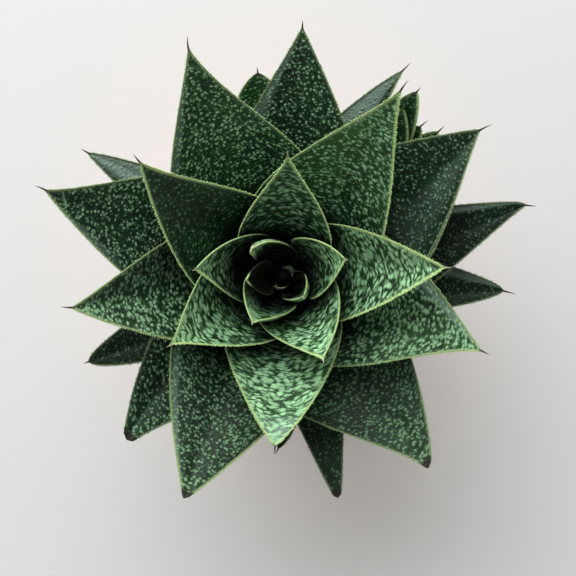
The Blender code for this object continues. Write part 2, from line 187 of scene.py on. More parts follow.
# Pot and soil, as in the part
POT_HEIGHT = 86 * MM
RIM_RADIUS = 52 * MM
RIM_TAPER = 1.4 * MM
RIM_BAND = 21 * MM
RIM_STEP = 4 * MM
BASE_RADIUS = 35 * MM
POT_WALL = 4.6 * MM
POT_FLOOR = 6 * MM
INNER_FLOOR_RADIUS = 30 * MM
DRAIN_RADIUS = 6 * MM
SOIL_LEVEL = 80 * MM

# A coloured band along a blade: where its middle lies, from -1 at the right margin to 1 at the
# left one, its half width on that scale, its strength, what it is, and how far it comes from the tip
Band = namedtuple("Band", "centre width share tone reach")

# The look of each blade: how fresh its green is, how much of it the flecks cover, how much longer
# than wide they are, how pale they are, how pale and wide its margin is, all from 0 to 1 or so,
# the depth of its channel and the swell of its halves in millimetres, and its bands
Look = namedtuple("Look", "fresh cover dash pale rim channel swell bands", defaults=((),))
# Among the bands are a wax bloom with painted sheen on faces and margins turned to the light, painted shade, and a
# withered edge darkened by painted shadow
LOOKS = [
    Look(0.6, 0.5, 2.0, 0.7, 0.8, 0.5, 0.0),
    Look(0.6, 0.5, 2.0, 0.7, 0.8, 0.5, 0.0),
    Look(0.6, 0.5, 2.2, 0.8, 1.3, 1.0, 0.0),
    Look(0.9, 0.62, 2.2, 1.0, 1.5, 1.4, 0.0),
    Look(0.9, 0.62, 2.2, 1.0, 1.5, 1.4, 0.0),
    Look(0.9, 0.62, 2.2, 1.0, 1.5, 2.0, 0.0),
    Look(0.9, 0.60, 2.2, 1.0, 1.5, 2.0, 0.0),
    Look(0.8, 0.58, 2.2, 0.9, 1.3, 2.4, 0.0),
    Look(1.0, 0.62, 2.2, 1.0, 1.4, 2.4, 0.0),
    Look(0.75, 0.46, 2.4, 0.75, 0.9, 1.3, 0.4),
    Look(0.8, 0.58, 2.4, 1.0, 1.0, 2.6, 0.0),
    # Blade 12: painted shade over its left half
    Look(0.85, 0.56, 2.2, 0.95, 1.2, 3.0, 0.2, (Band(0.5, 0.45, 0.25, "painted_shade", 90),)),
    Look(0.55, 0.18, 1.4, 0.38, 0.9, 1.6, 0.4),
    Look(0.9, 0.60, 2.4, 1.0, 0.8, 2.6, 0.3, (Band(0.0, 1.2, 0.8, "bloom_and_sheen", 15),)),
    Look(0.95, 0.44, 1.5, 0.7, 0.9, 1.4, 0.6, (Band(0.6, 0.55, 0.45, "lush", 110),)),
    # Blade 16: painted shade over its right half, the half turned from the light
    Look(0.5, 0.5, 1.4, 0.85, 0.6, 3.0, 0.2, (Band(-0.55, 0.5, 0.6, "painted_shade", 110),)),
    Look(0.8, 0.5, 1.6, 0.8, 0.6, 2.2, 0.3, (Band(0.86, 0.22, 0.85, "bloom_and_sheen", 70),)),
    Look(0.75, 0.36, 1.1, 0.8, 0.55, 1.2, 0.6, (Band(0.92, 0.16, 0.45, "bloom_and_sheen", 60),)),
    # Blade 19: a withered brown edge darkened by painted shadow along its left margin, and a wax bloom with painted
    # sheen near its right one
    Look(
        0.35,
        0.40,
        1.1,
        0.62,
        0.6,
        1.0,
        0.8,
        (Band(0.97, 0.15, 0.85, "withered_edge_and_shadow", 42), Band(-0.86, 0.10, 0.5, "bloom_and_sheen", 70)),
    ),
    # Blade 20: a broad band of wax bloom with painted sheen, and a pale line just inside its right margin
    Look(
        0.3,
        0.24,
        1.1,
        0.55,
        0.4,
        1.4,
        0.5,
        (Band(-0.40, 0.45, 0.18, "bloom_and_sheen", 75), Band(-0.93, 0.03, 0.7, "pale", 78)),
    ),
    Look(0.35, 0.34, 1.1, 0.66, 0.5, 1.4, 0.4, (Band(0.9, 0.2, 0.4, "bloom_and_sheen", 40),)),
    Look(0.45, 0.40, 1.3, 0.5, 0.4, 1.6, 0.5),
    Look(0.3, 0.26, 1.1, 0.75, 0.35, 0.8, 0.8, (Band(0.9, 0.3, 0.4, "bloom_and_sheen", 80),)),
    Look(0.3, 0.38, 1.1, 0.6, 0.2, 1.6, 0.6),
    Look(0.15, 0.16, 1.1, 0.3, 0.2, 1.0, 0.6, (Band(0.88, 0.26, 0.7, "bloom_and_sheen", 90),)),
    # Blade 26, and blade 28 two rows on: a paler wax bloom with painted sheen over most of the blade
    Look(0.3, 0.14, 1.1, 0.3, 0.2, 1.2, 0.4, (Band(-0.2, 1.2, 1.0, "pale_bloom_and_sheen", 90),)),
    Look(0.35, 0.18, 1.1, 0.3, 0.15, 1.2, 0.4),
    Look(0.3, 0.14, 1.1, 0.3, 0.3, 1.2, 0.4, (Band(0.5, 0.8, 1.0, "pale_bloom_and_sheen", 90),)),
    Look(0.1, 0.12, 1.1, 0.15, 0.15, 1.2, 0.4),
    Look(0.25, 0.16, 1.1, 0.3, 0.15, 1.2, 0.4, (Band(0.8, 0.3, 0.7, "bloom_and_sheen", 60),)),
    Look(0.1, 0.14, 1.1, 0.25, 0.15, 1.2, 0.4),
    Look(0.1, 0.14, 1.1, 0.25, 0.15, 1.2, 0.4),
]
OFFSET_LOOK = Look(1.0, 0.25, 1.1, 0.5, 0.8, 0.5, 0.0)


class Wire:
    """An output socket that takes part in sums: each operator adds one Math node."""

    def __init__(self, sheet, socket):
        self.sheet = sheet
        self.socket = socket

    def maths(self, operation, *values):
        return self.sheet.node("ShaderNodeMath", {"operation": operation}, dict(enumerate(values)))

    def __add__(self, other):
        return self.maths("ADD", self, other)

    def __radd__(self, other):
        return self.maths("ADD", other, self)

    def __sub__(self, other):
        return self.maths("SUBTRACT", self, other)

    def __rsub__(self, other):
        return self.maths("SUBTRACT", other, self)

    def __mul__(self, other):
        return self.maths("MULTIPLY", self, other)

    def __rmul__(self, other):
        return self.maths("MULTIPLY", other, self)

    def __truediv__(self, other):
        return self.maths("DIVIDE", self, other)

    def __abs__(self):
        return self.maths("ABSOLUTE", self)


class Sheet:
    """A node tree on which every node comes from one method."""

    def __init__(self, tree):
        self.tree = tree

    def node(self, kind, settings=None, sockets=None, out=0):
        made = self.tree.nodes.new(kind)
        for key, value in (settings or {}).items():
            setattr(made, key, value)
        for key, value in (sockets or {}).items():
            if isinstance(value, Wire):
                self.tree.links.new(value.socket, made.inputs[key])
            else:
                made.inputs[key].default_value = value
        return Wire(self, made.outputs[out]) if made.outputs else made

    def attribute(self, name, out=2):
        return self.node("ShaderNodeAttribute", {"attribute_name": name}, out=out)

    def split(self, vector):
        made = self.node("ShaderNodeSeparateXYZ", None, {0: vector})
        return [Wire(self, socket) for socket in made.socket.node.outputs]

    def vector(self, x, y, z=0.0):
        return self.node("ShaderNodeCombineXYZ", None, {0: x, 1: y, 2: z})

    def step(self, value, low, high):
        """0 below low and 1 above high, smooth between; high below low turns it round."""
        settings = {"interpolation_type": "SMOOTHSTEP"}
        return self.node("ShaderNodeMapRange", settings, {0: value, 1: low, 2: high})

    def noise(self, place, scale, detail=2.0, roughness=0.5):
        sockets = {"Vector": place, "Scale": scale, "Detail": detail, "Roughness": roughness}
        return self.node("ShaderNodeTexNoise", None, sockets)

    def cells(self, place, scale):
        """Distance to the nearest of scattered points, and a random value for each point."""
        settings = {"voronoi_dimensions": "3D", "feature": "F1"}
        sockets = {"Vector": place, "Scale": scale, "Randomness": 1.0}
        distance = self.node("ShaderNodeTexVoronoi", settings, sockets)
        chance = self.node("ShaderNodeSeparateColor", None, {0: Wire(self, distance.socket.node.outputs[1])})
        return distance, chance

    def blend(self, share, first, second):
        settings = {"data_type": "RGBA"}
        return self.node("ShaderNodeMix", settings, {0: share, 6: colour(first), 7: colour(second)}, 2)


def colour(value):
    return value if isinstance(value, Wire) else (*value, 1)


class Finish(Sheet):
    """A Principled material; what it is given either is a plain value or a wire."""

    def __init__(self, name):
        self.material = bpy.data.materials.new(name)
        self.material.use_nodes = True
        super().__init__(self.material.node_tree)
        self.shader = self.tree.nodes["Principled BSDF"]

    def wear(self, base, roughness, height=None, relief=0.1 * MM, strength=1.0, **plain):
        self.put("Base Color", colour(base))
        self.put("Roughness", roughness)
        for key, value in plain.items():
            self.put(key.replace("_", " ").title().replace("Ior", "IOR"), value)
        if height is not None:
            sockets = {"Strength": strength, "Distance": relief, "Height": height}
            self.put("Normal", self.node("ShaderNodeBump", None, sockets))
        return self.material

    def put(self, key, value):
        if isinstance(value, Wire):
            self.tree.links.new(value.socket, self.shader.inputs[key])
        else:
            self.shader.inputs[key].default_value = value


# Colours, as linear red, green and blue
DEEP_GREEN = np.array([0.0055, 0.0175, 0.0085])
FRESH_GREEN = np.array([0.012, 0.068, 0.014])
DULL_FLECK = np.array([0.16, 0.25, 0.18])
PALE_FLECK = np.array([0.48, 0.80, 0.47])
DULL_RIM = np.array([0.12, 0.16, 0.09])
PALE_RIM = np.array([0.56, 0.74, 0.34])
# Bluish grey of a wax bloom with painted sheen
BLOOM_AND_SHEEN = (0.22, 0.31, 0.26)
# Dark brown of a withered edge, darkened further by painted shadow of its turned-under side
WITHERED_EDGE_AND_SHADOW = (0.022, 0.018, 0.010)
AWN_BROWN = (0.050, 0.028, 0.018)
AWN_PALE = (0.50, 0.52, 0.34)
WITHERED = (0.028, 0.020, 0.014)
# Colour of the painted shade
PAINTED_SHADE_BLACK = (0.0, 0.0, 0.0)
# Colour of painted glints, tiny highlights on the flecks
PAINTED_GLINT = (0.60, 0.78, 0.66)
TONES = {
    # A wax bloom with painted sheen
    "bloom_and_sheen": BLOOM_AND_SHEEN,
    # A paler wax bloom with painted sheen
    "pale_bloom_and_sheen": (0.34, 0.44, 0.38),
    # A withered edge darkened by painted shadow
    "withered_edge_and_shadow": WITHERED_EDGE_AND_SHADOW,
    "pale": (0.30, 0.40, 0.25),
    # Painted shade over one half of a folded blade
    "painted_shade": (0.004, 0.012, 0.006),
    "lush": (0.045, 0.15, 0.022),
}
UNDER_FLECKS = ("bloom_and_sheen", "pale_bloom_and_sheen", "lush")
OVER_FLECKS = ("withered_edge_and_shadow", "pale", "painted_shade")

# How open a place has to be to keep its full tone under the painted shade, and what is left of the tone in the
# darkest painted shade
SHADE_DARK = 0.16
SHADE_LIGHT = 0.54
HEART_DARK = 0.08
HEART_LIGHT = 0.40
DEEPEST = 0.03

# How far from the tip each blade of the heart keeps its tone before painted shade darkens it, in millimetres,
# youngest first
PAINTED_LIT_LENGTHS = (3, 3, 4.5, 7.5, 9, 22, 28, 29, 42)


def mixed(first, second, share):
    return first + (second - first) * min(1, share)


def leaf_skin(name, look, seed, awn_colour, withered=0.0, lit_length=0.0):
    """Green skin with wavy pale flecks that lie across the blade, and a beaded pale margin.

    The attribute skin holds the distance from the midrib, from the tip and from the margin, and
    awn is 0 on the blade and rises to 1 at the awn's end. Painted shade darkens the tone where
    blades stand close together, and blades of the heart are painted dark as shade except over the
    given length from their tips.
    """
    made = Finish(name)
    across, from_tip, from_margin = made.split(made.attribute("skin", 1))
    awn = made.attribute("awn")
    under = made.attribute("under")
    # Share of the tone kept under painted shade: 1 in the open, falling where blades crowd and in the heart
    lit = painted_shade_share(made, from_tip, lit_length)
    flow = min(1, look.dash - 1)
    shifted = across + (0.03 + 0.11 * seed)
    place = made.vector(shifted, from_tip, under * 0.03)
    sway = made.noise(place, 150.0, 1.0)
    drift = made.noise(place, 620.0, 2.0)
    broad = made.noise(place, 55.0, 3.0)
    row = from_tip + (sway - 0.5) * (4.5 * flow * MM) + (drift - 0.5) * (1.0 * MM)
    column = (shifted + (drift - 0.5) * (1.0 * MM)) / (0.3 + 0.75 * look.dash)
    at = made.vector(column, row, under * 0.03)
    streak = made.noise(at, 1100.0, 2.5)
    distance, chance = made.cells(at, 1 / ((1.42 - 0.55 * look.cover) * MM))
    ripe = made.step(from_tip, 13 * MM, 0.0)
    spread = distance + (0.5 - streak) * (0.35 + 0.75 * look.cover) + (0.5 - broad) * 0.2
    # Flecks spread wider where the painted light share is high and shrink under painted shade; they also grow within
    # 13 mm of the tip
    spread = spread - (lit - 0.8) * 0.16 - ripe * (0.16 * look.cover)
    size = 0.14 + 0.10 * look.cover + 0.65 * look.cover**2
    soft = 0.10 + 0.16 * look.cover
    core = made.step(spread, size + soft, size - soft)
    flecks = core * (chance * 0.5 + 0.62)
    flecks = flecks.maths("MINIMUM", flecks, 1.0)
    halo = made.step(spread, size + 0.40, size)
    fresh = mixed(DEEP_GREEN, FRESH_GREEN, look.fresh)
    ground = made.blend(made.step(broad + (drift - 0.5) * 0.2, 0.3, 0.7), 0.5 * fresh, 1.15 * fresh)
    pale = mixed(DULL_FLECK, PALE_FLECK, look.pale)
    ground = made.blend(halo * (0.20 + 0.40 * look.cover), ground, 0.4 * pale + 1.5 * fresh)
    place_across = across / (abs(across) + from_margin)

    def with_bands(tone, names):
        for band in look.bands:
            if band.tone in names:
                gap = abs(place_across - band.centre) + (drift - 0.5) * min(0.08, band.width)
                lies = made.step(gap, band.width, 0.35 * band.width)
                ends = made.step(from_tip, band.reach * MM, 0.55 * band.reach * MM)
                tone = made.blend(lies * ends * (broad * 0.5 + 0.7) * band.share, tone, TONES[band.tone])
        return tone

    tone = made.blend(flecks * (0.5 + 0.42 * look.pale), with_bands(ground, UNDER_FLECKS), pale)
    # Painted glints: tiny highlights on the flecks, also a little smoother and raised
    painted_glints, glint_chance = made.cells(made.vector(shifted, from_tip, under * 0.03), 1 / (0.62 * MM))
    painted_glints = made.step(painted_glints, 0.34, 0.14) * made.step(glint_chance, 0.35, 0.8) * (core * 0.7 + 0.3)
    tone = made.blend(painted_glints * (0.5 * look.pale), tone, PAINTED_GLINT)
    glow = made.step(from_margin, 3.0 * MM, 0.4 * MM) * (0.28 * look.rim)
    tone = made.blend(glow, tone, 0.5 * (fresh + pale))
    tone = with_bands(tone, OVER_FLECKS)
    beads = made.noise(made.vector(from_tip, 0.5 * across, 0.0), 1000.0, 1.0)
    wide = (0.8 + 0.6 * look.rim) * MM
    rim = made.step(from_margin + beads * (0.6 * MM) - 0.3 * MM, wide, 0.4 * wide)
    tone = made.blend(rim * 0.92, tone, mixed(DULL_RIM, PALE_RIM, look.rim))
    end = made.step(from_tip, (1.2 + withered) * MM, (0.2 + 0.5 * withered) * MM)
    if withered:
        tone = made.blend(end * 0.95, tone, WITHERED)
    else:
        tone = made.blend(end * 0.6, tone, awn_colour)
    tone = made.blend(made.step(awn, 0.0, 0.12), tone, awn_colour)
    # Painted shade: the tone darkens to near black where the place is closed in
    tone = made.blend(lit * (1 - DEEPEST) + DEEPEST, PAINTED_SHADE_BLACK, tone)
    pores = made.noise(place, 2600.0, 2.0)
    rough = 0.46 + flecks * 0.10 + (drift - 0.5) * 0.10 - painted_glints * 0.15
    relief = flecks * 0.5 + halo * 0.4 + painted_glints * 0.2 + pores * 0.10 + drift * 0.2
    return made.wear(tone, rough, relief, 0.35 * MM, specular_ior_level=0.36)


def painted_shade_share(made, from_tip, lit_length):
    """How much tone a blade keeps under painted shade: dim where blades stand close together, and far down in the
    heart.
    """
    if not lit_length:
        return made.step(made.attribute("open"), SHADE_DARK, SHADE_LIGHT)
    lit = made.step(made.attribute("open"), HEART_DARK, HEART_LIGHT)
    return lit * made.step(from_tip, lit_length * MM, 0.3 * lit_length * MM)


def rim_finish(name, tone, lit_length=0.0):
    made = Finish(name)
    place = made.node("ShaderNodeTexCoord", None, None, 3)
    speckle = made.noise(place, 1500.0, 2.0)
    # Painted shade as on the blades: darker where the place is closed in and, in the heart, away from the tip
    lit = painted_shade_share(made, made.split(made.attribute("skin", 1))[1], lit_length)
    tone = made.blend(speckle, 0.72 * tone, 1.15 * tone)
    return made.wear(made.blend(lit * (1 - DEEPEST) + DEEPEST, PAINTED_SHADE_BLACK, tone), 0.5)


def terracotta():
    """Fired clay with fine grit, a pale salt bloom near the foot and rim, and faint turning lines."""
    made = Finish("terracotta_clay")
    place = made.node("ShaderNodeTexCoord", None, None, 3)
    x, y, z = made.split(place)
    cloud = made.noise(place, 32.0, 5.0, 0.6)
    grit = made.noise(place, 1400.0, 3.0, 0.7)
    pits, chance = made.cells(place, 420.0)
    clay = made.blend(made.step(cloud, 0.3, 0.7), (0.36, 0.125, 0.058), (0.50, 0.205, 0.105))
    clay = made.blend(made.step(grit, 0.45, 0.75) * 0.35, clay, (0.62, 0.33, 0.20))
    dark_grit = made.step(pits, 0.16, 0.08) * made.step(chance, 0.72, 0.8)
    clay = made.blend(dark_grit * 0.7, clay, (0.12, 0.045, 0.03))
    foot = made.step(z, 34 * MM, 2 * MM)
    brim = made.step(z, 70 * MM, 86 * MM)
    salt_cloud = made.noise(place, 75.0, 6.0, 0.65)
    salt = made.step(salt_cloud + foot * 0.22 + brim * 0.12, 0.58, 0.85)
    clay = made.blend(salt * 0.75, clay, (0.66, 0.56, 0.47))
    lines = made.noise(made.vector(0.0, 0.0, z), 1100.0, 1.0)
    relief = grit * 0.5 + lines * 0.5 + cloud * 0.4 - dark_grit * 0.8
    return made.wear(clay, 0.88 - salt * 0.06, relief, 0.22 * MM)


def grain_finish(name, dark, light, rough=0.9):
    """Lumps of one kind in the mix: each takes its own tone, with fine pores."""
    made = Finish(name)
    place = made.node("ShaderNodeTexCoord", None, None, 3)
    lump = made.noise(place, 210.0, 1.0)
    pores = made.noise(place, 2100.0, 4.0, 0.7)
    tone = made.blend(made.step(lump * 0.6 + pores * 0.4, 0.34, 0.66), dark, light)
    return made.wear(tone, rough, pores + lump * 0.5, 0.3 * MM)


def potting_mix(name, dark, light):
    made = Finish(name)
    place = made.node("ShaderNodeTexCoord", None, None, 3)
    lumps = made.noise(place, 260.0, 5.0, 0.7)
    crumbs = made.noise(place, 1500.0, 3.0, 0.7)
    tone = made.blend(made.step(lumps * 0.6 + crumbs * 0.4, 0.35, 0.65), dark, light)
    return made.wear(tone, 0.92, crumbs + lumps, 0.5 * MM)


def bark():
    made = Finish("corky_bark")
    place = made.node("ShaderNodeTexCoord", None, None, 3)
    x, y, z = made.split(place)
    rings = made.noise(made.vector(x * 0.3, y * 0.3, z), 700.0, 4.0, 0.65)
    tone = made.blend(made.step(rings, 0.35, 0.7), (0.10, 0.075, 0.040), (0.30, 0.26, 0.15))
    # Green-black towards the top: a green growing tip, painted near black as the shade of the heart
    tone = made.blend(made.step(z, 96 * MM, 104 * MM), tone, (0.004, 0.009, 0.005))
    return made.wear(tone, 0.82, rings, 0.4 * MM)


def make_mesh(name, points, faces, smooth=True):
    """A mesh of the given closed skin, turned right side out."""
    points = np.asarray(points, float).reshape(-1, 3)
    total = 0.0
    for size in (3, 4):
        group = np.array([face for face in faces if len(face) == size], int).reshape(-1, size)
        for i in range(1, size - 1):
            a, b, c = points[group[:, 0]], points[group[:, i]], points[group[:, i + 1]]
            total += np.einsum("ij,ij->", a, np.cross(b, c))
    if total < 0:
        faces = [face[::-1] for face in faces]
    mesh = bpy.data.meshes.new(name)
    mesh.from_pydata(points.tolist(), [], faces)
    if smooth:
        mesh.shade_smooth()
    return mesh


def add_piece(name, mesh, *materials):
    for finish in materials:
        mesh.materials.append(finish)
    piece = bpy.data.objects.new(name, mesh)
    bpy.context.scene.collection.objects.link(piece)
    return piece


def settle(piece, node):
    """Turns a piece's modifiers into plain mesh and lets it stand for a CAD node."""
    if piece.modifiers:
        graph = bpy.context.evaluated_depsgraph_get()
        graph.update()
        plain = bpy.data.meshes.new_from_object(piece.evaluated_get(graph))
        piece.modifiers.clear()
        piece.data = plain
    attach(piece, "root")
    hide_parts(node)


def store(mesh, name, values):
    kind = "FLOAT_VECTOR" if values.ndim == 2 else "FLOAT"
    data = mesh.attributes.new(name, kind, "POINT").data
    data.foreach_set("vector" if values.ndim == 2 else "value", values.astype(np.float32).ravel())


def stem_radius(height):
    share = (STEM_TOP - height) / (STEM_TOP - STEM_FOOT)
    return STEM_TOP_RADIUS + (STEM_FOOT_RADIUS - STEM_TOP_RADIUS) * share


# A blade as columns of numbers, one row for each station from heel to tip: a function that places
# sideways distances and heights above the face, the distance along it, its half widths to the left
# and right, its thickness, the depth of its channel above and under it, and the swell of its
# halves; and its awn's length and turn
Blade = namedtuple("Blade", "place along left right thickness channel floor swell awn hook")


def spiral_blade(order, leaf, look):
    """The blade of one leaf of the main rosette."""
    age = order / (len(LEAVES) - 1)
    far = math.radians(OLD_SLOPE + (YOUNG_SLOPE - OLD_SLOPE) * (1 - age) ** SLOPE_FALL)
    run = np.linspace(0, 3 * leaf.reach * MM + 60 * MM, 2000)
    slopes = far + math.radians(HEEL_RISE) * age * np.exp(-run / HEEL_LENGTH)
    heel_height = TOP_HEEL + (LOWEST_HEEL - TOP_HEEL) * age
    heel_radius = stem_radius(heel_height) + 2 * GAP
    radii = heel_radius + np.concatenate([[0], np.cumsum(np.cos(slopes[:-1]) * run[1])])
    heights = heel_height + np.concatenate([[0], np.cumsum(np.sin(slopes[:-1]) * run[1])])
    length = np.interp(leaf.reach * MM, radii, run)
    stations = max(LEAST_STATIONS, round(length / STATION_SPACING))
    along = length * np.sin(0.5 * math.pi * np.linspace(0, 1, stations + 1))[:, None] ** 0.9
    radius = np.interp(along, run, radii)
    height = np.interp(along, run, heights)
    slope = np.interp(along, run, slopes)
    share = along / length
    azimuth = np.radians(leaf.heel + (leaf.tip - leaf.heel) * share**2)
    spread_share = np.clip((along - SPREAD_START) / SPREAD_LENGTH, 0, 1)
    spread = HEEL_SPREAD + (FULL_SPREAD - HEEL_SPREAD) * spread_share
    sides = []
    for widest, fall in zip((leaf.left, leaf.right), leaf.fall):
        taper = widest * MM * ((1 - share) / WIDEST_AT) ** fall + leaf.end * MM
        sides.append((taper**-CORNER + (spread * radius) ** -CORNER) ** (-1 / CORNER))
    mean = 0.5 * sum(sides)
    fullness = np.minimum(1, share / 0.45) * min(1, (leaf.left + leaf.right) / 40)
    body = HEEL_THICKNESS + (THICKEST - HEEL_THICKNESS) * fullness
    thickness = (body**-3 + (TIP_THICKNESS_SHARE * mean + AWN_RADIUS) ** -3) ** (-1 / 3)
    under = CAD_CHANNEL * np.minimum(1, mean / (8 * MM)) * share
    wide = np.minimum(1, mean / (10 * MM)) * np.minimum(1, 2.5 * share)
    channel = np.minimum(look.channel * MM * wide, 0.5 * thickness + under)

    def place(side, lift):
        around = azimuth + side / radius
        out = np.stack([np.cos(around), np.sin(around), np.zeros_like(around)], -1)
        flat = radius - np.sin(slope) * lift
        point = flat[..., None] * out + ROSETTE_AXIS
        point[..., 2] += height + np.cos(slope) * lift
        return point

    swell = look.swell * MM * wide
    hook = math.radians(leaf.hook)
    return Blade(place, along, *sides, thickness, channel, under, swell, leaf.awn * MM, hook)


def offset_blade(crown, tip, left, right, awn):
    """The blade of one leaf of an offset, which rises from the crown in an arch."""
    crown = np.array(crown) * MM + ROSETTE_AXIS
    tip = np.array(tip) * MM + ROSETTE_AXIS
    reach = tip - crown
    length = np.linalg.norm(reach)
    bend = crown + 0.5 * reach + OFFSET_LEAF_ARCH * length * np.array([0, 0, 1])
    share = np.sin(0.5 * math.pi * np.linspace(0, 1, OFFSET_STATIONS + 1))[:, None] ** 0.9
    centre = (1 - share) ** 2 * crown + 2 * share * (1 - share) * bend + share**2 * tip
    forward = 2 * (1 - share) * (bend - crown) + 2 * share * (tip - bend)
    forward /= np.linalg.norm(forward, axis=1, keepdims=True)
    across = np.cross([0, 0, 1], forward)
    across /= np.linalg.norm(across, axis=1, keepdims=True)
    up = np.cross(forward, across)
    swell = np.sin(np.pi * (0.1 + 0.9 * share) ** 1.2) ** OFFSET_TIP_POWER
    swell = np.nan_to_num(swell)
    thickness = 1.25 * OFFSET_LEAF_THICKNESS * np.minimum(1, 0.2 + swell)
    channel = 0.3 * OFFSET_LEAF_THICKNESS * np.minimum(1, swell)

    def place(side, lift):
        return centre[:, None] + side[..., None] * across[:, None] + lift[..., None] * up[:, None]

    sides = [width * MM * swell + AWN_RADIUS for width in (left, right)]
    return Blade(place, share * length, *sides, thickness, channel, channel, 0 * channel, awn * MM, 0.0)


def blade_skin(blade, wave_seed):
    """Rings of points round a blade and its awn, with what the finish reads at each point."""
    draw = np.random.default_rng(wave_seed)
    left, right = blade.left, blade.right
    bead = np.minimum(BEAD_RADIUS, 0.4 * np.minimum(left, right))
    share = blade.along / blade.along[-1]
    upper = np.sin(0.5 * math.pi * np.linspace(-1, 1, UPPER_POINTS))[None, :]
    under = np.sin(0.5 * math.pi * np.linspace(1, -1, UNDER_POINTS))[None, :]
    angles = np.radians(BEAD_ANGLES)[None, :]

    def side_of(spread):
        return np.where(spread > 0, left, right) - bead

    valley = np.sqrt(upper**2 + CREASE_WIDTH**2)
    keel = 0.72 * (1 - np.abs(under) ** 2.2) + 0.28 * (1 - np.abs(under))
    halves = 4 * np.abs(upper) * (1 - np.abs(upper))
    face = blade.swell * halves - blade.channel * np.maximum(0, 1 - valley)
    columns = [
        (upper * side_of(upper), face),
        (left - bead + bead * np.cos(angles), bead * np.sin(angles)),
        (under * side_of(under), -blade.floor * (1 - np.abs(under)) - blade.thickness * keel),
        (-(right - bead) - bead * np.cos(angles[:, ::-1]), -bead * np.sin(angles)),
    ]
    side = np.concatenate([np.broadcast_to(s, (len(share), s.shape[1])) for s, _ in columns], 1)
    lift = np.concatenate([np.broadcast_to(h, (len(share), h.shape[1])) for _, h in columns], 1)
    spread = side / np.maximum(0.5 * (left + right), MM)
    wave = np.zeros_like(side)
    for _ in range(5):
        wide, far, turn = draw.uniform(0.5, 2.4), draw.uniform(3, 13), draw.uniform(0, 6.3)
        wave += np.sin(wide * spread + far * share + turn) * draw.uniform(0.3, 1)
    calm = np.minimum(1, 4 * share) * np.minimum(1, (left + right) / (16 * MM))
    lift = lift + 0.4 * WAVE_HEIGHT * wave * calm
    rings = blade.place(side, lift)
    loop = rings.shape[1]
    bead_first = UPPER_POINTS
    under_first = bead_first + len(BEAD_ANGLES)
    half = np.where(side > 0, left, right)
    skin = np.stack([side, blade.along[-1] - blade.along + 0 * side, half - np.abs(side)], -1)
    is_under = np.zeros(loop)
    is_under[under_first : under_first + UNDER_POINTS] = 1
    is_rim = np.zeros(loop)
    is_rim[[bead_first + 1, loop - 2]] = 1
    fleck = np.where(is_under + is_rim > 0, 0, 1) * (skin[..., 2] > 1.2 * MM)
    fleck = fleck * (np.arange(loop) < UPPER_POINTS)

    tip, before = rings[-1].mean(0), rings[-4].mean(0)
    forward = (tip - before) / np.linalg.norm(tip - before)
    turn = np.array(
        [
            [math.cos(blade.hook), -math.sin(blade.hook), 0],
            [math.sin(blade.hook), math.cos(blade.hook), 0],
            [0, 0, 1],
        ]
    )
    end = tip + blade.awn * (turn @ forward)
    bend = tip + 0.45 * blade.awn * forward
    last = rings[-1] - tip
    awn_rings = []
    for t in (np.arange(AWN_RINGS) + 1) / AWN_RINGS:
        centre = (1 - t) ** 2 * tip + 2 * t * (1 - t) * bend + t**2 * end
        awn_rings.append(centre + 0.9 * last * (1 - t) ** 0.8)
    awn_rings = np.array(awn_rings[:-1])
    points = np.concatenate([rings, awn_rings])
    count = len(awn_rings)
    skin = np.concatenate([skin, np.zeros((count, loop, 3))])
    awn = np.concatenate([np.zeros(len(rings)), (np.arange(count) + 1) / count])
    awn = np.repeat(awn[:, None], loop, 1)
    pad = np.zeros((count, loop))
    rim = np.concatenate([is_rim * (share > 0.1) * (blade.along < blade.along[-1] - 1.2 * MM), pad])
    under_all = np.tile(is_under, (len(points), 1))
    fleck = np.concatenate([fleck * np.minimum(1, 3 * share), pad])
    outward = np.where(np.arange(loop) < loop // 2 + 5, 1.0, -1.0)
    widen = blade.place(side * 1.02 + outward * 0.1 * MM, lift) - rings
    widen /= np.maximum(np.linalg.norm(widen, axis=-1, keepdims=True), 1e-9)
    ahead = np.gradient(rings, axis=0)
    ahead /= np.maximum(np.linalg.norm(ahead, axis=-1, keepdims=True), 1e-9)
    lean = np.concatenate([widen + 0.45 * ahead, np.zeros((count, loop, 3))])
    crosswise = np.concatenate([widen * np.sign(side + 1e-9)[..., None], np.zeros((count, loop, 3))])
    fields = {
        "skin": skin,
        "awn": awn,
        "under": under_all,
        "rim": rim,
        "fleck": fleck,
        "lean": lean,
        "crosswise": crosswise,
    }
    return points, end, fields


